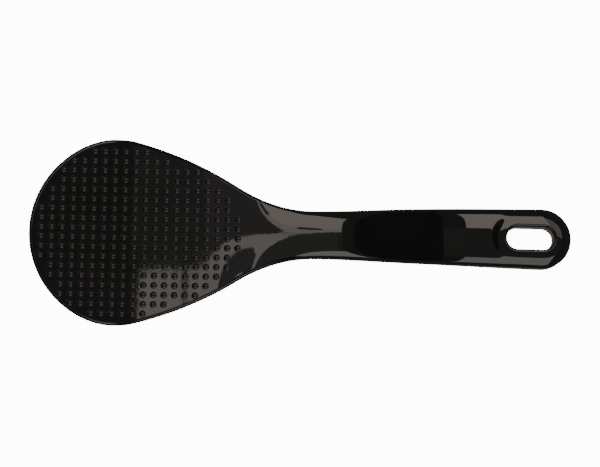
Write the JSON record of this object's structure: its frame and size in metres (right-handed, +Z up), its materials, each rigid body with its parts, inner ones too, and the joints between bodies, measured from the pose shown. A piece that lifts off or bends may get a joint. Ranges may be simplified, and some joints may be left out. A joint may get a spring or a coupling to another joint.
{
  "type": "rice paddle",
  "caption": "One-piece moulded rice paddle: a round, slightly dished blade with raised dots, a neck, an arched handle and a hanging slot.",
  "frame": {"origin": "on the surface it lies on, under the middle of its length and width", "axes": "+X along the paddle from the blade's tip towards the end of the handle, +Y across it, +Z up, away from the surface it lies on and out of the dotted side"},
  "size_m": [0.195, 0.0676, 0.0113],
  "materials": {
    "black_plastic": "moulded gloss"
  },
  "bodies": {
    "root": {"paddle": "black_plastic"}
  },
  "joints": []
}
